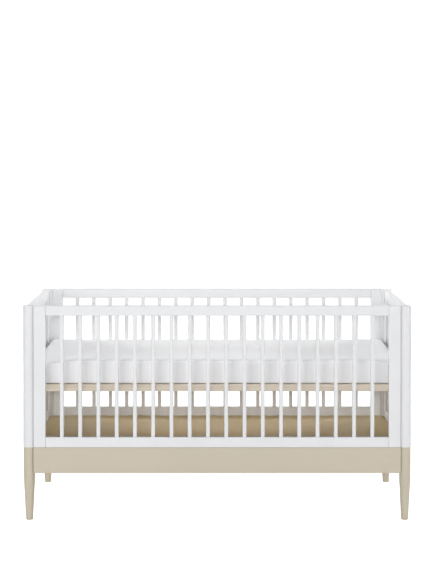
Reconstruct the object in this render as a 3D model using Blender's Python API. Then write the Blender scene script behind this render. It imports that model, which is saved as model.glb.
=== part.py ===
"""A wooden cot bed on four turned legs, in metres, +Z up, origin on the floor under its middle.

X runs along the bed, and the front is at -Y. Posts, slatted long sides and panelled ends are
painted white. The legs, the aprons between them, the board that closes the bed below and the
mattress base are beige. The mattress base is bolted to the ends at one of three heights.
"""

import math

import bmesh
import bpy

# Overall sizes
LENGTH = 1.492
WIDTH = 0.767
HEIGHT = 0.825

# Clearances
GAP = 0.0003  # between pieces that are glued or screwed together
CUT_OVERSHOOT = 0.004  # how far a cutter runs past the face that it opens

# Posts and legs
POST_DIAMETER = 0.048
POST_EDGE_RADIUS = 0.0025
LEG_SETBACK = 0.0014  # from the post's side to the leg's, all round
FOOT_DIAMETER = 0.0265
FOOT_EDGE_RADIUS = 0.003
LEG_HEIGHT = 0.282
TAPER_DROP = 0.009  # from the apron's bottom edge down to about where the leg starts to narrow
TAPER_BLEND = 0.035  # half the length over which the straight leg turns into the taper
SPIGOT_DIAMETER = 0.018
SPIGOT_LENGTH = 0.030
HOUSING_DEPTH = 0.005  # how far stiles and aprons are let into the posts and legs

# Slatted long sides
SIDE_THICKNESS = 0.025
SIDE_STILE_WIDTH = 0.045
SIDE_TOP_RAIL_HEIGHT = 0.037
SIDE_BOTTOM_RAIL_HEIGHT = 0.039
SLAT_COUNT = 18
SLAT_WIDTH = 0.015
SLAT_DEPTH = 0.020
SLAT_EDGE_RADIUS = 0.004
SLAT_TENON_WIDTH = 0.013
SLAT_TENON_THICKNESS = 0.009
SLAT_TENON_LENGTH = 0.0115
COMB_NAMES = ("left", "middle", "right")  # the back slats are held in this many combs
COMB_STRIP_HEIGHT = 0.0105
COMB_TAB_WIDTH = 0.010
COMB_TAB_LENGTH = 0.004  # how far a strip's tabs reach into the slats

# Panelled ends
END_THICKNESS = 0.022
END_INSET = 0.013  # from the outside of the posts to the outside of the end
END_STILE_WIDTH = 0.073
END_TOP_RAIL_HEIGHT = 0.037
END_BOTTOM_RAIL_HEIGHT = 0.039
PANEL_THICKNESS = 0.008
PANEL_TONGUE = 0.008  # how far the panel goes into the frame around it

# Tenons of the rails of the long sides and the ends
RAIL_TENON_LENGTH = 0.016
RAIL_TENON_THICKNESS = 0.009
RAIL_TENON_SHOULDER = 0.007  # above and below the tenon

# Aprons, and the board that closes the bed below
APRON_HEIGHT = 0.0995
APRON_THICKNESS = 0.022
APRON_INSET = 0.0015  # behind the face of the frame above
BOARD_THICKNESS = 0.012
BOARD_RISE = 0.003  # the board's top above the bottom of the frames
BOARD_CLEARANCE = 0.001
CLEAT_SIZE = 0.022
CLEAT_END_CLEARANCE = 0.008

# Mattress base
BASE_DROP = 0.304  # from the top of the bed to the top of the base, at its highest place
BASE_MIDDLE_SHARE = 0.59  # of the way from the base's highest place to its lowest
BASE_LOW_CLEARANCE = 0.0085  # above the board, at its lowest place
BASE_RAIL_HEIGHT = 0.0275
BASE_RAIL_THICKNESS = 0.022
BASE_END_RAIL_WIDTH = 0.045
BASE_CLEARANCE = 0.0025  # to the sides and ends of the bed
BASE_POST_CLEARANCE = 0.003
BASE_TENON_WIDTH = 0.020
BASE_TENON_THICKNESS = 0.012
BASE_TENON_LENGTH = 0.014
BASE_TENON_INSET = 0.0035  # from the inner edge of the end rail
DECK_THICKNESS = 0.006
DECK_LEDGE = 0.012
DECK_HOLE_DIAMETER = 0.036
DECK_HOLE_ROWS = 2
DECK_HOLE_COLUMNS = 7
BOLT_HOLE_DIAMETER = 0.007
BOLT_HEAD_RECESS_DIAMETER = 0.016
BOLT_HEAD_RECESS_DEPTH = 0.018
INSERT_HOLE_DIAMETER = 0.010
INSERT_HOLE_DEPTH = 0.015

# Mattress
MATTRESS_END_CLEARANCE = 0.011
MATTRESS_SIDE_CLEARANCE = 0.0085
MATTRESS_THICKNESS = 0.092
MATTRESS_CORNER_RADIUS = 0.040
MATTRESS_EDGE_RADIUS = 0.012

# Eased edges, and the fineness of round faces
EDGE_RADIUS = 0.0018
SHARPEST_CORNER = 0.0002  # a rounded corner keeps at least this radius
EDGE_SEGMENTS = 2
HIDDEN_EDGE_SEGMENTS = 1
TAPER_SEGMENTS = 3
MATTRESS_CORNER_SEGMENTS = 4
ROUND_SEGMENTS = 24
HOLE_SEGMENTS = 12
SMOOTH_ANGLE = math.radians(35)

# Sizes and places that the sizes above give
LEG_DIAMETER = POST_DIAMETER - 2 * LEG_SETBACK
POST_X = (LENGTH - POST_DIAMETER) / 2
POST_Y = (WIDTH - POST_DIAMETER) / 2
SIDE_Y = (WIDTH - SIDE_THICKNESS) / 2
SIDE_INNER_Y = WIDTH / 2 - SIDE_THICKNESS
STILE_END_X = POST_X - POST_DIAMETER / 2 + HOUSING_DEPTH
STILE_X = STILE_END_X - SIDE_STILE_WIDTH / 2
OPENING = 2 * (STILE_END_X - SIDE_STILE_WIDTH)
SLAT_GAP = (OPENING - SLAT_COUNT * SLAT_WIDTH) / (SLAT_COUNT + 1)
SLAT_PITCH = SLAT_GAP + SLAT_WIDTH
SLAT_LOW = LEG_HEIGHT + SIDE_BOTTOM_RAIL_HEIGHT
SLAT_HIGH = HEIGHT - SIDE_TOP_RAIL_HEIGHT
END_X = LENGTH / 2 - END_INSET - END_THICKNESS / 2
END_INNER_X = END_X - END_THICKNESS / 2
END_STILE_OUTER_Y = POST_Y - POST_DIAMETER / 2 + HOUSING_DEPTH
END_STILE_Y = END_STILE_OUTER_Y - END_STILE_WIDTH / 2
END_OPENING = 2 * (END_STILE_OUTER_Y - END_STILE_WIDTH)
PANEL_LOW = LEG_HEIGHT + END_BOTTOM_RAIL_HEIGHT - PANEL_TONGUE
PANEL_HIGH = HEIGHT - END_TOP_RAIL_HEIGHT + PANEL_TONGUE
LEG_TOP = LEG_HEIGHT - GAP
TAPER_HEIGHT = LEG_HEIGHT - APRON_HEIGHT - TAPER_DROP
APRON_Y = WIDTH / 2 - APRON_INSET - APRON_THICKNESS / 2
APRON_X = LENGTH / 2 - END_INSET - APRON_INSET - APRON_THICKNESS / 2
APRON_END_X = POST_X - LEG_DIAMETER / 2 + HOUSING_DEPTH
APRON_END_Y = POST_Y - LEG_DIAMETER / 2 + HOUSING_DEPTH
BOARD_TOP = LEG_HEIGHT + BOARD_RISE
BOARD_BOTTOM = BOARD_TOP - BOARD_THICKNESS
BASE_TOP = HEIGHT - BASE_DROP
BASE_Z = BASE_TOP - BASE_RAIL_HEIGHT / 2
BASE_TRAVEL = BASE_TOP - BASE_RAIL_HEIGHT - BOARD_TOP - BASE_LOW_CLEARANCE
BASE_STEPS = (0.0, BASE_MIDDLE_SHARE * BASE_TRAVEL, BASE_TRAVEL)  # down from the highest
BASE_OUTER_X = END_INNER_X - BASE_CLEARANCE
BASE_OUTER_Y = SIDE_INNER_Y - BASE_CLEARANCE
BASE_INNER_X = BASE_OUTER_X - BASE_END_RAIL_WIDTH
BASE_INNER_Y = BASE_OUTER_Y - BASE_RAIL_THICKNESS
BASE_TENON_X = BASE_INNER_X + BASE_TENON_INSET + BASE_TENON_WIDTH / 2
RECESS_X = BASE_INNER_X + DECK_LEDGE
RECESS_Y = BASE_INNER_Y + DECK_LEDGE
MATTRESS_LENGTH = 2 * (END_INNER_X - MATTRESS_END_CLEARANCE)
MATTRESS_WIDTH = 2 * (SIDE_INNER_Y - MATTRESS_SIDE_CLEARANCE)
MATTRESS_Z = BASE_TOP + GAP + MATTRESS_THICKNESS / 2

LEFT, RIGHT, FRONT, BACK = -1, 1, -1, 1
SIDES = (("front", FRONT), ("back", BACK))
ENDS = (("left", LEFT), ("right", RIGHT))


# Outlines, spans and solids


def rectangle(width, depth, middle=(0.0, 0.0)):
    """Corners of a rectangle, anticlockwise."""
    signs = ((1, 1), (-1, 1), (-1, -1), (1, -1))
    return [(middle[0] + a * width / 2, middle[1] + b * depth / 2) for a, b in signs]


def rounded_rectangle(width, depth, radius, segments=EDGE_SEGMENTS, middle=(0.0, 0.0)):
    """Points of a rectangle with round corners, anticlockwise."""
    radius = max(radius, SHARPEST_CORNER)
    points = []
    for quarter, (u, v) in enumerate(rectangle(width - 2 * radius, depth - 2 * radius, middle)):
        for step in range(segments + 1):
            angle = (quarter + step / segments) * math.pi / 2
            points.append((u + radius * math.cos(angle), v + radius * math.sin(angle)))
    return points


def circle(radius, segments=ROUND_SEGMENTS):
    """Points of a circle, anticlockwise."""
    angles = [2 * math.pi * step / segments for step in range(segments)]
    return [(radius * math.cos(angle), radius * math.sin(angle)) for angle in angles]


def rounded_end(radius, segments=EDGE_SEGMENTS):
    """(inset, distance from the end) of each ring that rounds an end."""
    angles = [math.pi / 2 * step / segments for step in range(segments + 1)]
    return [(radius * (1 - math.sin(a)), radius * (1 - math.cos(a))) for a in angles]


def bar(width, depth, length, radius=EDGE_RADIUS, end_radius=EDGE_RADIUS, segments=EDGE_SEGMENTS):
    """Sections of a straight bar with round edges and ends, about its middle."""
    low, high = [], []
    for inset, distance in rounded_end(end_radius):
        size = (width - 2 * inset, depth - 2 * inset)
        outline = rounded_rectangle(*size, radius - inset, segments)
        low.append((distance - length / 2, outline))
        high.insert(0, (length / 2 - distance, outline))
    return low + high


def plain_bar(width, depth, length):
    """Sections of a straight bar with chamfered edges and square ends, about its middle."""
    outline = rounded_rectangle(width, depth, EDGE_RADIUS, HIDDEN_EDGE_SEGMENTS)
    return [(-length / 2, outline), (length / 2, outline)]


def with_tenons(sections, tenon, length):
    """Sections of a bar with a tenon of this outline on each end."""
    low, high = sections[0][0], sections[-1][0]
    return [(low - length, tenon), (low, tenon), *sections, (high, tenon), (high + length, tenon)]


def around(middle, size, clearance=0.0):
    """Low and high of a size about its middle, with a clearance at both ends."""
    half = size / 2 + clearance
    return middle - half, middle + half


def on_side(sign, near, far):
    """Low and high of the stretch between two distances, on one side of zero."""
    return sorted((sign * near, sign * far))


def add_loft(shape, sections, axis="Z", centre=(0.0, 0.0, 0.0)):
    """Adds one closed body, skinned over outlines that lie across the axis."""
    rings = []
    for place, outline in sections:
        ring = []
        for u, v in outline:
            point = {"X": (place, u, v), "Y": (v, place, u), "Z": (u, v, place)}[axis]
            ring.append(shape.verts.new([c + p for c, p in zip(centre, point)]))
        rings.append(ring)
    for low, high in zip(rings, rings[1:]):
        for i in range(len(low)):
            j = (i + 1) % len(low)
            shape.faces.new((low[i], low[j], high[j], high[i]))
    shape.faces.new(reversed(rings[0]))
    shape.faces.new(rings[-1])


def add_block(shape, x, y, z):
    """Adds a box between a low and a high value on each axis."""
    outline = rectangle(x[1] - x[0], y[1] - y[0], ((x[0] + x[1]) / 2, (y[0] + y[1]) / 2))
    add_loft(shape, [(z[0], outline), (z[1], outline)])


def add_rod(shape, radius, ends, axis, centre, segments=HOLE_SEGMENTS):
    """Adds a round rod along an axis, between two distances from its centre."""
    outline = circle(radius, segments)
    add_loft(shape, [(ends[0], outline), (ends[1], outline)], axis, centre)


# Objects and materials


def clear_scene():
    for obj in list(bpy.data.objects):
        bpy.data.objects.remove(obj, do_unlink=True)


def make_material(name, colour, roughness):
    material = bpy.data.materials.new(name)
    material.use_nodes = True
    material.diffuse_color = (*colour, 1.0)
    shader = material.node_tree.nodes["Principled BSDF"]
    shader.inputs["Base Color"].default_value = (*colour, 1.0)
    shader.inputs["Roughness"].default_value = roughness
    shader.inputs["Metallic"].default_value = 0.0
    return material


def link(name, data, place=(0.0, 0.0, 0.0), parent=None):
    """Puts an object at a place of the whole bed, under its parent if it has one."""
    obj = bpy.data.objects.new(name, data)
    bpy.context.scene.collection.objects.link(obj)
    obj.location = place
    if parent is not None:
        obj.parent = parent
        obj.location = [a - b for a, b in zip(place, parent.location)]
    return obj


def finish_mesh(name, shape, material=None):
    mesh = bpy.data.meshes.new(name)
    shape.to_mesh(mesh)
    shape.free()
    mesh.shade_smooth()
    mesh.set_sharp_from_angle(angle=SMOOTH_ANGLE)
    if material is not None:
        mesh.materials.append(material)
    return mesh


def make_part(name, sections, axis, place, material, parent=None):
    shape = bmesh.new()
    add_loft(shape, sections, axis)
    return link(name, finish_mesh(name, shape, material), place, parent)


def make_helper(name, shape):
    """A mesh that only Booleans use, in the bed's own coordinates."""
    helper = link(name, finish_mesh(name, shape))
    helper.hide_render = True
    helper.display_type = "WIRE"
    return helper


def combine(obj, helper, operation="DIFFERENCE"):
    boolean = obj.modifiers.new(helper.name, "BOOLEAN")
    boolean.operation = operation
    boolean.solver = "EXACT"
    boolean.object = helper


# Posts and legs


def add_housings(shape, signs, z, side, end):
    """Adds what is let into a post or leg. side and end are (middle, thickness, tip) of a piece."""
    middle, thickness, tip = side
    x = on_side(signs[0], tip + GAP, tip - POST_DIAMETER)
    add_block(shape, x, around(signs[1] * middle, thickness, GAP), z)
    middle, thickness, tip = end
    y = on_side(signs[1], tip + GAP, tip - POST_DIAMETER)
    add_block(shape, around(signs[0] * middle, thickness, GAP), y, z)


def make_post(name, signs, material):
    length = HEIGHT - LEG_HEIGHT
    sections = [(0.0, circle(POST_DIAMETER / 2))]
    for inset, distance in reversed(rounded_end(POST_EDGE_RADIUS)):
        sections.append((length - distance, circle(POST_DIAMETER / 2 - inset)))
    place = (signs[0] * POST_X, signs[1] * POST_Y, LEG_HEIGHT)
    post = make_part(name, sections, "Z", place, material)
    shape = bmesh.new()
    z = (LEG_HEIGHT - CUT_OVERSHOOT, HEIGHT + CUT_OVERSHOOT)
    side = (SIDE_Y, SIDE_THICKNESS, STILE_END_X)
    add_housings(shape, signs, z, side, (END_X, END_THICKNESS, END_STILE_OUTER_Y))
    bore = (-CUT_OVERSHOOT, SPIGOT_LENGTH + GAP)
    add_rod(shape, SPIGOT_DIAMETER / 2 + GAP, bore, "Z", place, ROUND_SEGMENTS)
    combine(post, make_helper(f"{name}_cuts", shape))


def leg_radius(height):
    """A cone up to the straight part of the leg, with a parabola that joins the two."""
    slope = (LEG_DIAMETER - FOOT_DIAMETER) / 2 / TAPER_HEIGHT
    cone = FOOT_DIAMETER / 2 + slope * height
    into_blend = height - (TAPER_HEIGHT - TAPER_BLEND)
    if into_blend <= 0:
        return cone
    return cone - slope * into_blend**2 / (4 * TAPER_BLEND)


def leg_sections():
    sections = []
    for inset, distance in rounded_end(FOOT_EDGE_RADIUS):
        sections.append((distance, circle(leg_radius(distance) - inset)))
    for step in range(TAPER_SEGMENTS + 1):
        height = TAPER_HEIGHT + TAPER_BLEND * (2 * step / TAPER_SEGMENTS - 1)
        sections.append((height, circle(leg_radius(height))))
    sections.append((LEG_TOP, circle(LEG_DIAMETER / 2)))
    spigot = circle(SPIGOT_DIAMETER / 2)
    return sections + [(LEG_TOP, spigot), (LEG_HEIGHT + SPIGOT_LENGTH, spigot)]


def make_leg(name, signs, material):
    place = (signs[0] * POST_X, signs[1] * POST_Y, 0.0)
    leg = make_part(name, leg_sections(), "Z", place, material)
    shape = bmesh.new()
    z = (LEG_TOP - APRON_HEIGHT - GAP, LEG_TOP + CUT_OVERSHOOT)
    side = (APRON_Y, APRON_THICKNESS, APRON_END_X)
    add_housings(shape, signs, z, side, (APRON_X, APRON_THICKNESS, APRON_END_Y))
    combine(leg, make_helper(f"{name}_cuts", shape))


# Slatted long sides


def rails(top_height, bottom_height):
    """(name, middle, height) of the two rails of a side or an end."""
    return (
        ("top_rail", HEIGHT - top_height / 2, top_height),
        ("bottom_rail", LEG_HEIGHT + bottom_height / 2, bottom_height),
    )


def slat_x(index):
    return -OPENING / 2 + SLAT_GAP + SLAT_WIDTH / 2 + index * SLAT_PITCH


def slat_body():
    outline = rounded_rectangle(SLAT_WIDTH, SLAT_DEPTH, SLAT_EDGE_RADIUS)
    return [(SLAT_LOW + GAP, outline), (SLAT_HIGH - GAP, outline)]


def slat_cuts(y, sign):
    """What the front slats' tenons, or the back slats' strips, take out of the rails."""
    shape = bmesh.new()
    across = around(y, SLAT_TENON_THICKNESS, GAP)
    z = (SLAT_LOW - SLAT_TENON_LENGTH, SLAT_HIGH + SLAT_TENON_LENGTH)
    if sign == BACK:
        add_block(shape, around(0.0, OPENING - SLAT_GAP), across, z)
        return shape
    for index in range(SLAT_COUNT):
        add_block(shape, around(slat_x(index), SLAT_TENON_WIDTH, GAP), across, z)
    return shape


def make_side_frame(name, sign, material):
    y = sign * SIDE_Y
    cuts = make_helper(f"{name}_slat_cuts", slat_cuts(y, sign))
    mortises = bmesh.new()
    mortise_x = around(0.0, OPENING, RAIL_TENON_LENGTH)
    for label, middle, height in rails(SIDE_TOP_RAIL_HEIGHT, SIDE_BOTTOM_RAIL_HEIGHT):
        tenon_height = height - 2 * RAIL_TENON_SHOULDER
        tenon = rounded_rectangle(RAIL_TENON_THICKNESS, tenon_height, EDGE_RADIUS)
        body = bar(SIDE_THICKNESS, height, OPENING - 2 * GAP)
        sections = with_tenons(body, tenon, RAIL_TENON_LENGTH)
        rail = make_part(f"{name}_{label}", sections, "X", (0.0, y, middle), material)
        combine(rail, cuts)
        mortise_y = around(y, RAIL_TENON_THICKNESS, GAP)
        add_block(mortises, mortise_x, mortise_y, around(middle, tenon_height, GAP))
    mortise_cutter = make_helper(f"{name}_rail_mortises", mortises)
    length = HEIGHT - LEG_HEIGHT
    for label, x_sign in ENDS:
        sections = bar(SIDE_STILE_WIDTH, SIDE_THICKNESS, length)
        place = (x_sign * STILE_X, y, LEG_HEIGHT + length / 2)
        stile = make_part(f"{name}_{label}_stile", sections, "Z", place, material)
        combine(stile, mortise_cutter)


def make_front_slats(material):
    """Separate slats of one shape, with a tenon at each end."""
    tenon = rounded_rectangle(SLAT_TENON_WIDTH, SLAT_TENON_THICKNESS, EDGE_RADIUS)
    shape = bmesh.new()
    add_loft(shape, with_tenons(slat_body(), tenon, SLAT_TENON_LENGTH - GAP))
    mesh = finish_mesh("front_slat", shape, material)
    for index in range(SLAT_COUNT):
        link(f"front_slat_{index + 1:02d}", mesh, (slat_x(index), FRONT * SIDE_Y, 0.0))


def strip_outline(indexes, face, towards_slats):
    """(Z, X) outline of a strip level with a rail's face, with a tab into each slat."""
    low_end = slat_x(indexes[0]) - SLAT_PITCH / 2 + GAP
    high_end = slat_x(indexes[-1]) + SLAT_PITCH / 2 - GAP
    back = face - towards_slats * COMB_STRIP_HEIGHT
    tip = face + towards_slats * (GAP + COMB_TAB_LENGTH)
    points = [(back, low_end), (face, low_end)]
    for index in indexes:
        low_tab, high_tab = around(slat_x(index), COMB_TAB_WIDTH)
        points += [(face, low_tab), (tip, low_tab), (tip, high_tab), (face, high_tab)]
    points += [(face, high_end), (back, high_end)]
    return points if towards_slats > 0 else points[::-1]


def make_back_combs(material):
    """Slats held together by a strip above and a strip below, in grooves of the rails."""
    y = BACK * SIDE_Y
    half = SLAT_TENON_THICKNESS / 2
    for comb, label in enumerate(COMB_NAMES):
        first = comb * SLAT_COUNT // len(COMB_NAMES)
        indexes = range(first, (comb + 1) * SLAT_COUNT // len(COMB_NAMES))
        strips, slats = bmesh.new(), bmesh.new()
        for face, towards_slats in ((SLAT_LOW, 1), (SLAT_HIGH, -1)):
            outline = strip_outline(indexes, face, towards_slats)
            add_loft(strips, [(-half, outline), (half, outline)], "Y", (0.0, y, 0.0))
        for index in indexes:
            add_loft(slats, slat_body(), "Z", (slat_x(index), y, 0.0))
        name = f"back_{label}_slats"
        held = link(name, finish_mesh(name, strips, material))
        combine(held, make_helper(f"{name}_bars", slats), "UNION")


# Panelled ends


def make_end_frame(name, sign, material):
    x = sign * END_X
    panel_y = around(0.0, END_OPENING, PANEL_TONGUE)
    groove = bmesh.new()
    groove_y = around(0.0, END_OPENING, PANEL_TONGUE + GAP)
    groove_z = (PANEL_LOW - GAP, PANEL_HIGH + GAP)
    add_block(groove, around(x, PANEL_THICKNESS, GAP), groove_y, groove_z)
    groove_cutter = make_helper(f"{name}_end_groove", groove)
    mortises = bmesh.new()
    mortise_y = around(0.0, END_OPENING, RAIL_TENON_LENGTH)
    for label, middle, height in rails(END_TOP_RAIL_HEIGHT, END_BOTTOM_RAIL_HEIGHT):
        tenon_height = height - 2 * RAIL_TENON_SHOULDER
        tenon = rounded_rectangle(tenon_height, RAIL_TENON_THICKNESS, EDGE_RADIUS)
        body = bar(height, END_THICKNESS, END_OPENING - 2 * GAP)
        sections = with_tenons(body, tenon, RAIL_TENON_LENGTH)
        rail = make_part(f"{name}_end_{label}", sections, "Y", (x, 0.0, middle), material)
        combine(rail, groove_cutter)
        mortise_x = around(x, RAIL_TENON_THICKNESS, GAP)
        add_block(mortises, mortise_x, mortise_y, around(middle, tenon_height, GAP))
    mortise_cutter = make_helper(f"{name}_end_rail_mortises", mortises)
    length = HEIGHT - LEG_HEIGHT
    for label, y_sign in SIDES:
        place = (x, y_sign * END_STILE_Y, LEG_HEIGHT + length / 2)
        sections = bar(END_THICKNESS, END_STILE_WIDTH, length)
        stile = make_part(f"{name}_end_{label}_stile", sections, "Z", place, material)
        combine(stile, groove_cutter)
        combine(stile, mortise_cutter)
        holes = bmesh.new()
        hole_x = on_side(sign, -CUT_OVERSHOOT, INSERT_HOLE_DEPTH)
        for step in BASE_STEPS:
            mouth = (sign * END_INNER_X, y_sign * END_STILE_Y, BASE_Z - step)
            add_rod(holes, INSERT_HOLE_DIAMETER / 2, hole_x, "X", mouth)
        combine(stile, make_helper(f"{name}_end_{label}_insert_holes", holes))
    outline = rectangle(PANEL_THICKNESS, panel_y[1] - panel_y[0])
    sections = [(0.0, outline), (PANEL_HIGH - PANEL_LOW, outline)]
    make_part(f"{name}_end_panel", sections, "Z", (x, 0.0, PANEL_LOW), material)


# Aprons, board and cleats


def make_aprons(material):
    z = LEG_TOP - APRON_HEIGHT / 2
    for name, sign in SIDES:
        sections = bar(APRON_THICKNESS, APRON_HEIGHT, 2 * APRON_END_X)
        make_part(f"{name}_apron", sections, "X", (0.0, sign * APRON_Y, z), material)
    for name, sign in ENDS:
        sections = bar(APRON_HEIGHT, APRON_THICKNESS, 2 * APRON_END_Y)
        make_part(f"{name}_apron", sections, "Y", (sign * APRON_X, 0.0, z), material)


def notched_rectangle(half_x, half_y, notch_x, notch_y):
    """A rectangle without its corners, anticlockwise."""
    corner = ((half_x, notch_y), (notch_x, notch_y), (notch_x, half_y))
    points = list(corner)
    points += [(-x, y) for x, y in reversed(corner)]
    points += [(-x, -y) for x, y in corner]
    points += [(x, -y) for x, y in reversed(corner)]
    return points


def make_base_board(material):
    """The board that closes the bed below, cut out around the posts and legs."""
    half_x = min(END_INNER_X, APRON_X - APRON_THICKNESS / 2) - BOARD_CLEARANCE
    half_y = min(SIDE_INNER_Y, APRON_Y - APRON_THICKNESS / 2) - BOARD_CLEARANCE
    reach = max(POST_DIAMETER, LEG_DIAMETER) / 2 + BOARD_CLEARANCE
    outline = notched_rectangle(half_x, half_y, POST_X - reach, POST_Y - reach)
    sections = [(0.0, outline), (BOARD_THICKNESS, outline)]
    make_part("base_board", sections, "Z", (0.0, 0.0, BOARD_BOTTOM), material)


def make_cleats(material):
    """Two bars screwed inside the long aprons, which carry the board."""
    y = APRON_Y - APRON_THICKNESS / 2 - GAP - CLEAT_SIZE / 2
    z = BOARD_BOTTOM - GAP - CLEAT_SIZE / 2
    length = 2 * (POST_X - POST_DIAMETER / 2 - CLEAT_END_CLEARANCE)
    for name, sign in SIDES:
        sections = plain_bar(CLEAT_SIZE, CLEAT_SIZE, length)
        make_part(f"{name}_board_cleat", sections, "X", (0.0, sign * y, z), material)


# Mattress base


def make_base_cutters():
    """What the deck, tenons, bolts and posts take out of the base's side rails and end rails."""
    recess, tenons, heads, shanks, posts = (bmesh.new() for _ in range(5))
    recess_z = (BASE_TOP - DECK_THICKNESS - GAP, BASE_TOP + CUT_OVERSHOOT)
    add_block(recess, (-RECESS_X, RECESS_X), (-RECESS_Y, RECESS_Y), recess_z)
    tenon_y = around(0.0, 2 * BASE_INNER_Y, BASE_TENON_LENGTH)
    tenon_z = around(BASE_Z, BASE_TENON_THICKNESS, GAP)
    post_z = around(0.0, BASE_RAIL_HEIGHT, CUT_OVERSHOOT)
    notch_radius = POST_DIAMETER / 2 + BASE_POST_CLEARANCE
    for x_sign in (LEFT, RIGHT):
        add_block(tenons, around(x_sign * BASE_TENON_X, BASE_TENON_WIDTH, GAP), tenon_y, tenon_z)
        head = on_side(x_sign, -CUT_OVERSHOOT, BOLT_HEAD_RECESS_DEPTH)
        shank = on_side(x_sign, 0.0, BASE_END_RAIL_WIDTH + CUT_OVERSHOOT)
        for y_sign in (FRONT, BACK):
            post = (x_sign * POST_X, y_sign * POST_Y, BASE_Z)
            add_rod(posts, notch_radius, post_z, "Z", post, ROUND_SEGMENTS)
            mouth = (x_sign * BASE_INNER_X, y_sign * END_STILE_Y, BASE_Z)
            add_rod(heads, BOLT_HEAD_RECESS_DIAMETER / 2, head, "X", mouth)
            add_rod(shanks, BOLT_HOLE_DIAMETER / 2, shank, "X", mouth)
    side_cutters = [
        make_helper("deck_recess", recess),
        make_helper("base_tenon_mortises", tenons),
    ]
    end_cutters = [
        side_cutters[0],
        make_helper("bolt_head_recesses", heads),
        make_helper("bolt_holes", shanks),
        make_helper("base_post_notches", posts),
    ]
    return side_cutters, end_cutters


def make_mattress_base(parent, material, deck_material):
    side_cutters, end_cutters = make_base_cutters()
    length = 2 * (POST_X - POST_DIAMETER / 2 - BASE_POST_CLEARANCE)
    for name, sign in SIDES:
        sections = bar(BASE_RAIL_THICKNESS, BASE_RAIL_HEIGHT, length)
        place = (0.0, sign * (BASE_OUTER_Y + BASE_INNER_Y) / 2, BASE_Z)
        rail = make_part(f"mattress_base_{name}_rail", sections, "X", place, material, parent)
        for cutter in side_cutters:
            combine(rail, cutter)
    middle = (BASE_OUTER_X + BASE_INNER_X) / 2
    tenon_size = (BASE_TENON_THICKNESS, BASE_TENON_WIDTH, EDGE_RADIUS, HIDDEN_EDGE_SEGMENTS)
    for name, sign in ENDS:
        tenon = rounded_rectangle(*tenon_size, (0.0, sign * (BASE_TENON_X - middle)))
        body = plain_bar(BASE_RAIL_HEIGHT, BASE_END_RAIL_WIDTH, 2 * (BASE_INNER_Y - GAP))
        sections = with_tenons(body, tenon, BASE_TENON_LENGTH)
        place = (sign * middle, 0.0, BASE_Z)
        rail = make_part(f"mattress_base_{name}_rail", sections, "Y", place, material, parent)
        for cutter in end_cutters:
            combine(rail, cutter)
    make_deck(parent, deck_material)


def make_deck(parent, material):
    """The panel that carries the mattress, with holes that let air through."""
    outline = rectangle(2 * (RECESS_X - GAP), 2 * (RECESS_Y - GAP))
    sections = [(0.0, outline), (DECK_THICKNESS, outline)]
    place = (0.0, 0.0, BASE_TOP - DECK_THICKNESS)
    deck = make_part("mattress_base_deck", sections, "Z", place, material, parent)
    holes = bmesh.new()
    hole_z = around(DECK_THICKNESS / 2, DECK_THICKNESS, CUT_OVERSHOOT)
    for column in range(DECK_HOLE_COLUMNS):
        x = ((column + 0.5) / DECK_HOLE_COLUMNS - 0.5) * 2 * RECESS_X
        for row in range(DECK_HOLE_ROWS):
            y = ((row + 0.5) / DECK_HOLE_ROWS - 0.5) * 2 * RECESS_Y
            add_rod(holes, DECK_HOLE_DIAMETER / 2, hole_z, "Z", (x, y, place[2]))
    combine(deck, make_helper("deck_holes", holes))


# Mattress


def make_mattress(parent, material):
    sections = bar(
        MATTRESS_LENGTH,
        MATTRESS_WIDTH,
        MATTRESS_THICKNESS,
        MATTRESS_CORNER_RADIUS,
        MATTRESS_EDGE_RADIUS,
        MATTRESS_CORNER_SEGMENTS,
    )
    make_part("mattress", sections, "Z", (0.0, 0.0, MATTRESS_Z), material, parent)


def main():
    clear_scene()
    white = make_material("white_paint", (0.80, 0.81, 0.83), 0.35)
    beige = make_material("beige_paint", (0.58, 0.53, 0.43), 0.40)
    board = make_material("board_paint", (0.45, 0.39, 0.27), 0.50)
    base_wood = make_material("base_wood", (0.62, 0.54, 0.44), 0.50)
    deck_ply = make_material("deck_ply", (0.60, 0.48, 0.33), 0.60)
    cover = make_material("mattress_cover", (0.80, 0.80, 0.82), 0.90)
    for y_name, y_sign in SIDES:
        for x_name, x_sign in ENDS:
            make_post(f"{y_name}_{x_name}_post", (x_sign, y_sign), white)
            make_leg(f"{y_name}_{x_name}_leg", (x_sign, y_sign), beige)
        make_side_frame(y_name, y_sign, white)
    make_front_slats(white)
    make_back_combs(white)
    for name, sign in ENDS:
        make_end_frame(name, sign, white)
    make_aprons(beige)
    make_base_board(board)
    make_cleats(beige)
    base_height = link("base_height", None, (0.0, 0.0, BASE_Z))
    make_mattress_base(base_height, base_wood, deck_ply)
    mattress_lift = link("mattress_lift", None, (0.0, 0.0, BASE_TOP))
    make_mattress(mattress_lift, cover)


main()
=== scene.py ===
"""Looks of the cot bed: paint, wood, fabric, mattress, hardware, light and camera."""

import math

import bmesh
import bpy
import numpy as np
from mathutils import Matrix, Vector


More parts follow.
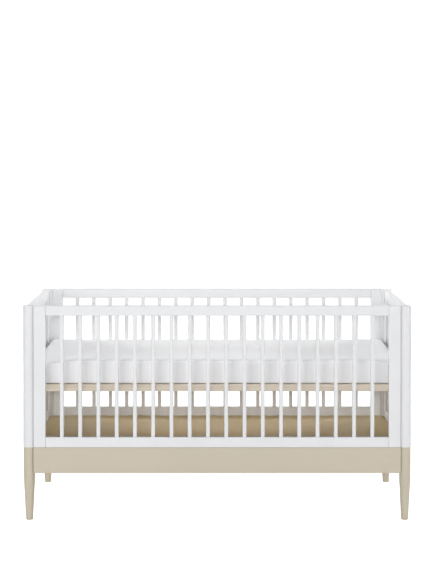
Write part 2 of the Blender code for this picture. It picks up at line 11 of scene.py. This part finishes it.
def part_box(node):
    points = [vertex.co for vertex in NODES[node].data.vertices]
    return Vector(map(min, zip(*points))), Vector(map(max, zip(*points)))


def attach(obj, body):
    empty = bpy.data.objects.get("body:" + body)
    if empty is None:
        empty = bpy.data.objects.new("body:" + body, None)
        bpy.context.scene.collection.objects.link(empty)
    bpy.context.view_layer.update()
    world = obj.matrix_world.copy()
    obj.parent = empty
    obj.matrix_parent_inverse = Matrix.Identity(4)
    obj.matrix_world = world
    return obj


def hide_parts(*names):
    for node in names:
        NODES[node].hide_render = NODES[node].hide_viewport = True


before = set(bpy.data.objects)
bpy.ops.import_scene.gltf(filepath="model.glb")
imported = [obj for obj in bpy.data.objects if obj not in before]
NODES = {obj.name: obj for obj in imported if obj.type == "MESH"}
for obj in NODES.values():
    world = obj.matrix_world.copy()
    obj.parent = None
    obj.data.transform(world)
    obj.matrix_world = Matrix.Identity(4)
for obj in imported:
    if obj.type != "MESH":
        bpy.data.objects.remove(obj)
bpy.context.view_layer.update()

MM = 0.001


# Node trees


class Tree:
    """Adds shader nodes to a material's tree and joins them up."""

    def __init__(self, name):
        self.material = bpy.data.materials.new(name)
        self.material.use_nodes = True
        self.nodes = self.material.node_tree.nodes
        self.links = self.material.node_tree.links
        self.nodes.clear()
        self.shader = self.add("ShaderNodeBsdfPrincipled")
        output = self.add("ShaderNodeOutputMaterial")
        self.links.new(self.shader.outputs[0], output.inputs["Surface"])

    def add(self, kind, settings=None, **inputs):
        node = self.nodes.new(kind)
        for key, value in (settings or {}).items():
            setattr(node, key, value)
        for key, value in inputs.items():
            node.inputs[key].default_value = value
        return node

    def coordinates(self, stretch):
        """Object coordinates, scaled by stretch on each axis."""
        place = self.add("ShaderNodeTexCoord")
        scaled = self.add("ShaderNodeVectorMath", {"operation": "MULTIPLY"})
        self.links.new(place.outputs["Object"], scaled.inputs[0])
        scaled.inputs[1].default_value = stretch
        return scaled

    def noise(self, vector, scale, detail=2.0, roughness=0.5):
        node = self.add("ShaderNodeTexNoise", Scale=scale, Detail=detail, Roughness=roughness)
        self.links.new(vector.outputs[0], node.inputs["Vector"])
        return node.outputs[0]

    def span(self, value, low, high, source=(0.0, 1.0)):
        """value, taken from the source range to low..high."""
        node = self.add("ShaderNodeMapRange")
        self.links.new(value, node.inputs["Value"])
        node.inputs["From Min"].default_value = source[0]
        node.inputs["From Max"].default_value = source[1]
        node.inputs["To Min"].default_value = low
        node.inputs["To Max"].default_value = high
        return node.outputs[0]

    def mix(self, factor, low, high):
        """A colour between low and high, each of them a socket or plain red, green and blue."""
        node = self.add("ShaderNodeMix", {"data_type": "RGBA"})
        self.links.new(factor, node.inputs[0])
        for socket, colour in ((node.inputs[6], low), (node.inputs[7], high)):
            if isinstance(colour, bpy.types.NodeSocket):
                self.links.new(colour, socket)
            else:
                socket.default_value = (*colour, 1.0)
        return node.outputs[2]

    def bump(self, heights):
        """Bumps from (value, depth in metres) pairs, one on top of the other."""
        normal = None
        for value, depth in heights:
            node = self.add("ShaderNodeBump", Strength=1.0, Distance=depth)
            self.links.new(value, node.inputs["Height"])
            if normal is not None:
                self.links.new(normal, node.inputs["Normal"])
            normal = node.outputs[0]
        self.links.new(normal, self.shader.inputs["Normal"])

    def colour(self, socket):
        self.links.new(socket, self.shader.inputs["Base Color"])

    def roughness(self, socket):
        self.links.new(socket, self.shader.inputs["Roughness"])

    def constants(self, **values):
        for key, value in values.items():
            self.shader.inputs[key.replace("_", " ")].default_value = value


# Stretches for coordinates(): a grain that runs along each axis, or none.
ALONG = {"X": (0.06, 1.0, 1.0), "Y": (1.0, 0.06, 1.0), "Z": (1.0, 1.0, 0.06)}
EVEN = (1.0, 1.0, 1.0)

# Colours, linear.
WHITE = (0.681, 0.687, 0.700)
# The back and the ends wear the same white paint as the front, made lighter here: painted light
# for their insides, which lie in shade.
WHITE_BACK_PAINTED_LIGHT = (0.785, 0.790, 0.800)
WHITE_END_PAINTED_LIGHT = (0.835, 0.840, 0.850)
BEIGE = (0.505, 0.452, 0.358)
BOARD = (0.78, 0.635, 0.36)
BADGE = (0.518, 0.464, 0.369)
WOOD_LIGHT = (0.68, 0.615, 0.52)
WOOD_DARK = (0.56, 0.48, 0.385)
PLY_LIGHT = (0.63, 0.51, 0.36)
PLY_DARK = (0.52, 0.40, 0.26)
KNIT_LIGHT = (0.82, 0.82, 0.83)
KNIT_DARK = (0.785, 0.785, 0.795)
KNIT_GAP = (0.71, 0.71, 0.72)
ZINC_LIGHT = (0.66, 0.66, 0.64)
ZINC_DARK = (0.50, 0.50, 0.49)
FLOOR_LIGHT = (0.40, 0.40, 0.40)
FLOOR_DARK = (0.38, 0.38, 0.38)
PURE_WHITE = (1.0, 1.0, 1.0, 1.0)

# Scales of the noise, per metre.
PAINT_GRAIN_SCALE = 260.0
PAINT_STIPPLE_SCALE = 900.0
PAINT_CLOUD_SCALE = 5.0
WOOD_WARP_SCALE = 9.0
WOOD_RING_SCALE = 70.0
PLY_RING_SCALE = 28.0
FIBRES_PER_RING = 9.0
KNIT_LOOP_SCALE = 620.0
KNIT_CLOUD_SCALE = 9.0
KNIT_CREASE_SCALE = 7.0
ZINC_SCALE = 400.0
FLOOR_SCALE = 0.7

# Depths of the bumps.
PAINT_GRAIN_DEPTH = 0.008 * MM
PAINT_STIPPLE_DEPTH = 0.004 * MM
WOOD_RING_DEPTH = 0.06 * MM
WOOD_FIBRE_DEPTH = 0.05 * MM
KNIT_CREASE_DEPTH = 1.5 * MM
KNIT_LOOP_DEPTH = 0.12 * MM
ZINC_DEPTH = 0.02 * MM

# Shares of a paint's colour: where it is thickest, thinnest, and in the lines of the grain.
PAINT_TONES = (1.012, 0.985, 0.975)

# Roughness of each paint.
WHITE_ROUGHNESS = 0.38
BEIGE_ROUGHNESS = 0.42
INNER_ROUGHNESS = 0.40
BOARD_ROUGHNESS = 0.55
BADGE_ROUGHNESS = 0.35


def painted(name, axis, colour, roughness):
    """Sprayed satin paint over wood: the grain just tells through it, along the axis."""
    tree = Tree(name)
    grain = tree.noise(tree.coordinates(ALONG[axis]), PAINT_GRAIN_SCALE, 3.0, 0.6)
    stipple = tree.noise(tree.coordinates(EVEN), PAINT_STIPPLE_SCALE, 1.0)
    cloud = tree.noise(tree.coordinates(EVEN), PAINT_CLOUD_SCALE, 2.0)
    light, dark, line = (tuple(c * tone for c in colour) for tone in PAINT_TONES)
    tone = tree.mix(tree.span(cloud, 0.0, 1.0, (0.3, 0.7)), dark, light)
    lines = tree.span(grain, 0.0, 0.35, (0.35, 0.75))
    tree.colour(tree.mix(lines, tone, line))
    tree.roughness(tree.span(cloud, roughness - 0.03, roughness + 0.04, (0.3, 0.7)))
    tree.bump([(grain, PAINT_GRAIN_DEPTH), (stipple, PAINT_STIPPLE_DEPTH)])
    tree.constants(Metallic=0.0, IOR=1.48)
    return tree.material


def timber(name, axis, light, dark, scale):
    """Planed wood with its grain along the axis."""
    tree = Tree(name)
    place = tree.coordinates(ALONG[axis])
    warp = tree.noise(place, WOOD_WARP_SCALE, 2.0)
    moved = tree.add("ShaderNodeVectorMath", {"operation": "MULTIPLY_ADD"})
    tree.links.new(place.outputs[0], moved.inputs[2])
    tree.links.new(warp, moved.inputs[0])
    moved.inputs[1].default_value = (0.05, 0.05, 0.05)
    rings = tree.noise(moved, scale, 2.5, 0.55)
    fibres = tree.noise(moved, scale * FIBRES_PER_RING, 2.0, 0.6)
    tone = tree.mix(tree.span(rings, 0.0, 1.0, (0.33, 0.68)), dark, light)
    tree.colour(tree.mix(tree.span(fibres, 0.0, 0.4, (0.35, 0.8)), tone, dark))
    tree.roughness(tree.span(rings, 0.50, 0.62, (0.3, 0.7)))
    tree.bump([(rings, WOOD_RING_DEPTH), (fibres, WOOD_FIBRE_DEPTH)])
    tree.constants(Metallic=0.0, IOR=1.45)
    return tree.material


def knitted(name):
    """A fine knitted mattress cover: ribs of loops, soft creases and a slight sheen."""
    tree = Tree(name)
    loops = tree.add("ShaderNodeTexVoronoi", {"feature": "SMOOTH_F1"}, Scale=KNIT_LOOP_SCALE)
    tree.links.new(tree.coordinates((1.0, 0.55, 1.0)).outputs[0], loops.inputs["Vector"])
    cloud = tree.noise(tree.coordinates(EVEN), KNIT_CLOUD_SCALE, 3.0)
    crease = tree.noise(tree.coordinates((1.0, 1.6, 1.0)), KNIT_CREASE_SCALE, 3.0, 0.55)
    tone = tree.mix(tree.span(cloud, 0.0, 1.0, (0.3, 0.7)), KNIT_DARK, KNIT_LIGHT)
    gaps = tree.span(loops.outputs[0], 0.0, 0.5, (0.1, 0.9))
    tree.colour(tree.mix(gaps, tone, KNIT_GAP))
    tree.bump([(crease, KNIT_CREASE_DEPTH), (loops.outputs[0], KNIT_LOOP_DEPTH)])
    tree.constants(Roughness=0.92, Sheen_Weight=0.3, Sheen_Roughness=0.5, IOR=1.4)
    return tree.material


def zinc(name):
    """Bright zinc-plated steel with a faint turned finish."""
    tree = Tree(name)
    cloud = tree.noise(tree.coordinates(EVEN), ZINC_SCALE, 2.0)
    tree.colour(tree.mix(cloud, ZINC_DARK, ZINC_LIGHT))
    tree.roughness(tree.span(cloud, 0.28, 0.42))
    tree.bump([(cloud, ZINC_DEPTH)])
    tree.constants(Metallic=1.0)
    return tree.material


def set_material(obj, material):
    obj.data.materials.clear()
    obj.data.materials.append(material)


def by_axis(make, name, axes, *settings):
    """The same material once for each axis that its grain may run along."""
    return {axis: make(f"{name}_{axis.lower()}", axis, *settings) for axis in axes}


def dress_cad():
    """Gives every node of the CAD but the mattress its paint or wood, with lighter copies of
    the white paint on the back and the ends as painted light.
    """
    white = by_axis(painted, "white_paint", "XZ", WHITE, WHITE_ROUGHNESS)
    beige = by_axis(painted, "beige_paint", "XYZ", BEIGE, BEIGE_ROUGHNESS)
    # Lighter copies of the white paint for the back and the ends: painted light for their
    # shaded insides.
    back = by_axis(painted, "white_back", "XZ", WHITE_BACK_PAINTED_LIGHT, INNER_ROUGHNESS)
    end = by_axis(painted, "white_end", "YZ", WHITE_END_PAINTED_LIGHT, INNER_ROUGHNESS)
    board = painted("board_paint_x", "X", BOARD, BOARD_ROUGHNESS)
    wood = by_axis(timber, "base_wood", "XY", WOOD_LIGHT, WOOD_DARK, WOOD_RING_SCALE)
    ply = timber("deck_ply_x", "X", PLY_LIGHT, PLY_DARK, PLY_RING_SCALE)
    for name, obj in NODES.items():
        if name == "mattress":
            continue
        if name == "mattress_base_deck":
            material = ply
        elif name.startswith("mattress_base"):
            material = wood["X" if "front" in name or "back" in name else "Y"]
        elif name == "base_board":
            material = board
        elif name.endswith("leg"):
            material = beige["Z"]
        elif name.endswith("apron"):
            material = beige["X" if "front" in name or "back" in name else "Y"]
        elif name.endswith("cleat"):
            material = beige["X"]
        else:
            axis = "Z"
            if name.endswith("rail"):
                axis = "Y" if "_end_" in name else "X"
            # The back and the ends take the lighter copies of the white paint, which are
            # painted light.
            paint = end if "_end_" in name else back if name.startswith("back") else white
            material = paint[axis]
        set_material(obj, material)


# Mattress

PLAN_RADIUS = 26 * MM
TOP_EDGE_RADIUS = 9 * MM
BOTTOM_EDGE_RADIUS = 4 * MM
CORNER_DIPS = {  # (sign of X, sign of Y): (depth, reach), as the front corners sag
    (-1, -1): (28 * MM, 170 * MM),
    (1, -1): (22 * MM, 105 * MM),
}
DIP_POWER = 1.5
OVER_LENGTH = 4 * MM  # how far each end stands out past the CAD mattress
UNDER_WIDTH = 1 * MM  # how far each side stays inside it
SWELL = 2.5 * MM
SWELL_FRAMES = 20
CLOTH = {
    "quality": 6,
    "mass": 0.4,
    "tension_stiffness": 30,
    "compression_stiffness": 30,
    "shear_stiffness": 15,
    "bending_stiffness": 4,
    "use_pressure": True,
    "uniform_pressure_force": 4,
}
CELL = 10 * MM
TINY = 1e-9


def box_grid(half):
    """Vertices and faces of a box cut into cells about CELL wide."""
    counts = [max(2, round(2 * h / CELL)) for h in half]
    index, points, faces = {}, [], []

    def vertex(i, j, k):
        if (i, j, k) not in index:
            index[i, j, k] = len(points)
            points.append([h * (2 * c / n - 1) for h, c, n in zip(half, (i, j, k), counts)])
        return index[i, j, k]

    def side(fixed, value, flip):
        u, v = [axis for axis in range(3) if axis != fixed]
        for a in range(counts[u]):
            for b in range(counts[v]):
                quad = []
                for da, db in ((0, 0), (1, 0), (1, 1), (0, 1)):
                    cell = [0, 0, 0]
                    cell[fixed], cell[u], cell[v] = value, a + da, b + db
                    quad.append(vertex(*cell))
                faces.append(quad[::-1] if flip else quad)

    for fixed in range(3):
        flip = fixed == 1
        side(fixed, 0, not flip)
        side(fixed, counts[fixed], flip)
    return np.array(points), faces


def rounded(points, half):
    """The box's points moved onto a mattress with round corners in plan and round edges."""
    a, b, h = half
    radius = np.where(points[:, 2] > 0, TOP_EDGE_RADIUS, BOTTOM_EDGE_RADIUS)
    core = np.array([a - PLAN_RADIUS, b - PLAN_RADIUS])
    plan = points[:, :2].copy()
    sign = np.sign(plan)
    over = np.maximum(np.abs(plan) - core, 0) / PLAN_RADIUS
    both = (over > 0).all(axis=1)
    s, t = over[:, 0], over[:, 1]
    curved = np.stack([s * np.sqrt(1 - t**2 / 2), t * np.sqrt(1 - s**2 / 2)], axis=1)
    plan[both] = (sign * (core + curved * PLAN_RADIUS))[both]
    centre = np.clip(plan, -core, core)
    out = plan - centre
    rho = np.linalg.norm(out, axis=1)
    inset = PLAN_RADIUS - rho
    depth = h - np.abs(points[:, 2])
    along = np.where(depth < TINY, inset, -depth)
    near = np.abs(along) < radius
    angle = math.pi / 4 * (1 + np.clip(along / radius, -1, 1))
    new_inset = radius * (1 - np.cos(angle))
    new_height = h - radius + radius * np.sin(angle)
    move = near & (rho > TINY)
    direction = out / np.maximum(rho, TINY)[:, None]
    moved = centre + direction * (PLAN_RADIUS - new_inset)[:, None]
    plan[move] = moved[move]
    height = points[:, 2].copy()
    height[move] = (np.sign(points[:, 2]) * new_height)[move]
    return np.column_stack([plan, height])


def swell(obj, start):
    """Lets air pressure round the cover, and keeps each point within SWELL of its start."""
    cloth = obj.modifiers.new("Cloth", "CLOTH")
    for key, value in CLOTH.items():
        setattr(cloth.settings, key, value)
    cloth.settings.effector_weights.gravity = 0
    cloth.point_cache.frame_start = 1
    cloth.point_cache.frame_end = SWELL_FRAMES
    scene = bpy.context.scene
    for step in range(1, SWELL_FRAMES + 1):
        scene.frame_set(step)
    graph = bpy.context.evaluated_depsgraph_get()
    shape = obj.evaluated_get(graph).to_mesh()
    points = np.empty(len(shape.vertices) * 3)
    shape.vertices.foreach_get("co", points)
    obj.evaluated_get(graph).to_mesh_clear()
    obj.modifiers.remove(cloth)
    scene.frame_set(1)
    shift = points.reshape(-1, 3) - start
    size = np.linalg.norm(shift, axis=1, keepdims=True)
    return start + shift * (SWELL * np.tanh(size / SWELL) / np.maximum(size, TINY))


def make_mattress():
    """The soft mattress, in place of the plain one of the CAD."""
    low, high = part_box("mattress")
    middle = (low + high) / 2
    half = (high - low) / 2
    half = np.array([half.x + OVER_LENGTH, half.y - UNDER_WIDTH, half.z])
    points, faces = box_grid(half)
    points = rounded(points, half)
    raised = np.clip(points[:, 2] / half[2], 0, 1)
    for (x_sign, y_sign), (depth, reach) in CORNER_DIPS.items():
        corner_x, corner_y = x_sign * half[0], y_sign * half[1]
        from_corner = np.hypot(corner_x - points[:, 0], corner_y - points[:, 1])
        fall = np.clip(1 - from_corner / reach, 0, 1)
        points[:, 2] -= depth * fall**DIP_POWER * raised
    mesh = bpy.data.meshes.new("mattress_cover")
    mesh.from_pydata(points.tolist(), [], faces)
    mesh.update()
    obj = bpy.data.objects.new("mattress_cover", mesh)
    bpy.context.scene.collection.objects.link(obj)
    points = swell(obj, points)
    points[:, 2] = np.clip(points[:, 2], -half[2], half[2] + SWELL)
    mesh.vertices.foreach_set("co", (points + np.array(middle)).ravel())
    mesh.shade_smooth()
    mesh.update()
    smooth = obj.modifiers.new("smooth", "SUBSURF")
    smooth.levels = smooth.render_levels = 1
    mesh.materials.append(knitted("mattress_cover"))
    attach(obj, "mattress")
    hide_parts("mattress")


# Hardware

BASE_BOLT_DROP = 13.75 * MM  # bolt axes below the top of the mattress base
BASE_STEPS = (0.0, 0.118, 0.200)  # from the base's highest place down to each of its three
BOLT_RECESS = 18 * MM  # depth of the hole that holds a bolt's head
BOLT_HEAD_LENGTH = 8 * MM
# Profiles as (depth, radius) in mm. A bolt's runs from its socket over its head to its tip.
BOLT_SOCKET = ((4.5, 0.0), (4.5, 2.6), (0.0, 2.6))
BOLT_HEAD = ((0.0, 5.6), (0.6, 6.6), (7.4, 6.6), (8.0, 6.0), (8.0, 2.9))
BOLT_SHANK = ((27.5, 2.9), (28.2, 2.2), (28.2, 0.0))
BOLT = BOLT_SOCKET + BOLT_HEAD + BOLT_SHANK
INSERT = ((0.4, 3.5), (0.0, 3.9), (0.0, 4.8), (12.0, 4.8), (12.0, 3.2), (0.9, 3.2), (0.4, 3.5))
INSERT_INSET = 0.3 * MM  # below the face of the stile
ROUND_CUTS = 32
SHARP_ANGLE = 35  # degrees, above which an edge is split
BADGE_RADIUS = 17.5 * MM
BADGE_THICKNESS = 0.8 * MM
BADGE_BEVEL = 0.5 * MM
BADGE_GAP = 0.1 * MM  # off the face of the apron
BADGE_PLACE = (0.648, 0.2295)  # X and Z of its middle
BADGE_CUTS = 48


def add_turned(shape, profile, mouth, direction):
    """Adds a solid turned about X, with its profile's depths counted from the mouth."""
    rings = []
    for depth, radius in profile:
        ring = []
        for step in range(1 if radius == 0.0 else ROUND_CUTS):
            angle = 2 * math.pi * step / ROUND_CUTS
            y, z = radius * math.cos(angle) * MM, radius * math.sin(angle) * MM
            offset = Vector((direction * depth * MM, y, z))
            ring.append(shape.verts.new(Vector(mouth) + offset))
        rings.append(ring)
    for low, high in zip(rings, rings[1:]):
        for step in range(ROUND_CUTS):
            after = (step + 1) % ROUND_CUTS
            corners = [low[step % len(low)], low[after % len(low)]]
            corners += [high[after % len(high)], high[step % len(high)]]
            shape.faces.new(list(dict.fromkeys(corners)))


def add_piece(name, shape, body, material):
    """Puts a new piece on a body of the frame."""
    bmesh.ops.remove_doubles(shape, verts=shape.verts, dist=MM / 1000)
    bmesh.ops.recalc_face_normals(shape, faces=shape.faces)
    mesh = bpy.data.meshes.new(name)
    shape.to_mesh(mesh)
    shape.free()
    mesh.materials.append(material)
    mesh.shade_smooth()
    obj = bpy.data.objects.new(name, mesh)
    bpy.context.scene.collection.objects.link(obj)
    edges = obj.modifiers.new("edges", "EDGE_SPLIT")
    edges.split_angle = math.radians(SHARP_ANGLE)
    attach(obj, body)
    return obj


def make_fixings():
    """Bolts in the ends of the mattress base, and the threaded inserts that they fit."""
    steel = zinc("zinc_plate")
    bolts, inserts = bmesh.new(), bmesh.new()
    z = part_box("mattress_base_left_rail")[1].z - BASE_BOLT_DROP
    for end, x_sign in (("left", -1), ("right", 1)):
        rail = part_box(f"mattress_base_{end}_rail")
        rail_inner_x = rail[1].x if x_sign < 0 else rail[0].x
        head_x = rail_inner_x + x_sign * (BOLT_RECESS - BOLT_HEAD_LENGTH)
        for side in ("front", "back"):
            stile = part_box(f"{end}_end_{side}_stile")
            stile_inner_x = stile[1].x if x_sign < 0 else stile[0].x
            insert_x = stile_inner_x + x_sign * INSERT_INSET
            y = (stile[0].y + stile[1].y) / 2
            add_turned(bolts, BOLT, (head_x, y, z), x_sign)
            for step in BASE_STEPS:
                add_turned(inserts, INSERT, (insert_x, y, z - step), x_sign)
    add_piece("base_bolts", bolts, "mattress_base", steel)
    add_piece("bolt_inserts", inserts, "frame", steel)


def make_badge():
    """A plain shallow disc on the front apron, with nothing on it."""
    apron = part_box("front_apron")
    shape = bmesh.new()
    bmesh.ops.create_cone(
        shape,
        cap_ends=True,
        segments=BADGE_CUTS,
        radius1=BADGE_RADIUS,
        radius2=BADGE_RADIUS - BADGE_BEVEL,
        depth=BADGE_THICKNESS,
    )
    turn = Matrix.Rotation(math.pi / 2, 4, "X")
    x, z = BADGE_PLACE
    middle = Vector((x, apron[0].y - BADGE_THICKNESS / 2 - BADGE_GAP, z))
    bmesh.ops.transform(shape, matrix=Matrix.Translation(middle) @ turn, verts=shape.verts)
    material = painted("badge_paint", "X", BADGE, BADGE_ROUGHNESS)
    badge = add_piece("apron_badge", shape, "frame", material)


# Light, floor and camera

FLOOR_RADIUS = 60.0
FLOOR_CUTS = 96
FLOOR_GLOW = 0.98
BOUNCE_DROP = 1 * MM
SURROUND_RADIUS = 75.0
WORLD_STRENGTH = 0.2
LIGHT_TARGET = (0.0, 0.0, 0.45)
LIGHTS = {  # azimuth and elevation in degrees, distance, (width, height), watts
    "key": (-33.0, 10.0, 5.5, (0.9, 0.9), 42.0),
    "head": (0.0, 8.3, 10.0, (0.8, 0.8), 305.0),
    "right_low": (50.0, 2.0, 6.0, (1.2, 0.8), 62.0),
    "left_low": (-50.0, 2.0, 6.0, (1.2, 0.8), 40.0),
    "right_side": (78.0, 20.0, 6.0, (2.5, 1.5), 42.0),
    "left_side": (-78.0, 20.0, 6.0, (2.5, 1.5), 22.0),
    "back": (180.0, 22.0, 6.0, (4.0, 1.5), 36.0),
    "back_right": (135.0, 15.0, 6.0, (2.5, 1.5), 200.0),
    "back_left": (-135.0, 15.0, 6.0, (2.5, 1.5), 200.0),
    "top": (0.0, 85.0, 5.0, (3.0, 2.0), 85.0),
}
CAMERA_PLACE = (-0.008, -6.8305, 1.452)
CAMERA_TILT = 0.01882  # radians, downward
CAMERA_SENSOR = 36.0
CAMERA_LENS = 104.92
CAMERA_SHIFT = (0.00345, -0.1996)
CAMERA_CLIP = (0.1, 200.0)


def stage_object(name, shape, material, seen):
    """Adds a part of the studio that only the camera sees, or that only light meets."""
    mesh = bpy.data.meshes.new(name)
    shape.to_mesh(mesh)
    shape.free()
    mesh.materials.append(material)
    obj = bpy.data.objects.new(name, mesh)
    obj.visible_camera = seen
    obj.visible_diffuse = not seen
    obj.visible_glossy = not seen
    obj.visible_transmission = not seen
    obj.visible_shadow = not seen
    bpy.context.scene.collection.objects.link(obj)
    return obj


def disc(radius):
    shape = bmesh.new()
    bmesh.ops.create_circle(shape, cap_ends=True, segments=FLOOR_CUTS, radius=radius)
    return shape


def make_studio():
    """A floor and surround, both white to the camera, and a floor that throws light back up."""
    tree = Tree("floor")
    cloud = tree.noise(tree.coordinates(EVEN), FLOOR_SCALE, 2.0)
    tree.colour(tree.mix(cloud, FLOOR_DARK, FLOOR_LIGHT))
    tree.constants(Roughness=0.9, Emission_Color=PURE_WHITE, Emission_Strength=FLOOR_GLOW)
    stage_object("floor", disc(FLOOR_RADIUS), tree.material, True)
    tree = Tree("floor_bounce")
    tree.constants(Base_Color=(0.8, 0.8, 0.8, 1.0), Roughness=1.0)
    bounce = stage_object("floor_bounce", disc(FLOOR_RADIUS), tree.material, False)
    bounce.location.z = -BOUNCE_DROP
    tree = Tree("surround")
    tree.constants(Base_Color=(0.0, 0.0, 0.0, 1.0), Emission_Color=PURE_WHITE)
    tree.constants(Emission_Strength=1.0)
    shape = bmesh.new()
    bmesh.ops.create_icosphere(shape, subdivisions=4, radius=SURROUND_RADIUS)
    stage_object("surround", shape, tree.material, True)


def area_light(name, azimuth, elevation, distance, size, power):
    """A soft light that points at the middle of the bed. The angles are in degrees."""
    side, height = math.radians(azimuth), math.radians(elevation)
    toward = Vector((math.sin(side), -math.cos(side), math.tan(height))).normalized()
    data = bpy.data.lights.new(name, "AREA")
    data.shape = "RECTANGLE"
    data.size, data.size_y = size
    data.energy = power
    light = bpy.data.objects.new(name, data)
    light.location = Vector(LIGHT_TARGET) + toward * distance
    light.rotation_euler = toward.to_track_quat("Z", "Y").to_euler()
    light.visible_camera = False
    bpy.context.scene.collection.objects.link(light)


def make_light():
    """The world's even light, the soft lights and a plain view transform."""
    world = bpy.data.worlds.new("studio")
    bpy.context.scene.world = world
    world.use_nodes = True
    background = world.node_tree.nodes["Background"]
    background.inputs["Color"].default_value = PURE_WHITE
    background.inputs["Strength"].default_value = WORLD_STRENGTH
    for name, settings in LIGHTS.items():
        area_light(name, *settings)
    view = bpy.context.scene.view_settings
    view.view_transform = "Standard"
    view.look = "None"
    view.exposure = 0.0
    view.gamma = 1.0


def make_camera():
    data = bpy.data.cameras.new("camera")
    data.sensor_width = CAMERA_SENSOR
    data.lens = CAMERA_LENS
    data.shift_x, data.shift_y = CAMERA_SHIFT
    data.clip_start, data.clip_end = CAMERA_CLIP
    camera = bpy.data.objects.new("camera", data)
    camera.location = CAMERA_PLACE
    camera.rotation_euler = (math.pi / 2 - CAMERA_TILT, 0.0, 0.0)
    bpy.context.scene.collection.objects.link(camera)
    bpy.context.scene.camera = camera


dress_cad()
make_mattress()
make_fixings()
make_badge()
make_studio()
make_light()
make_camera()
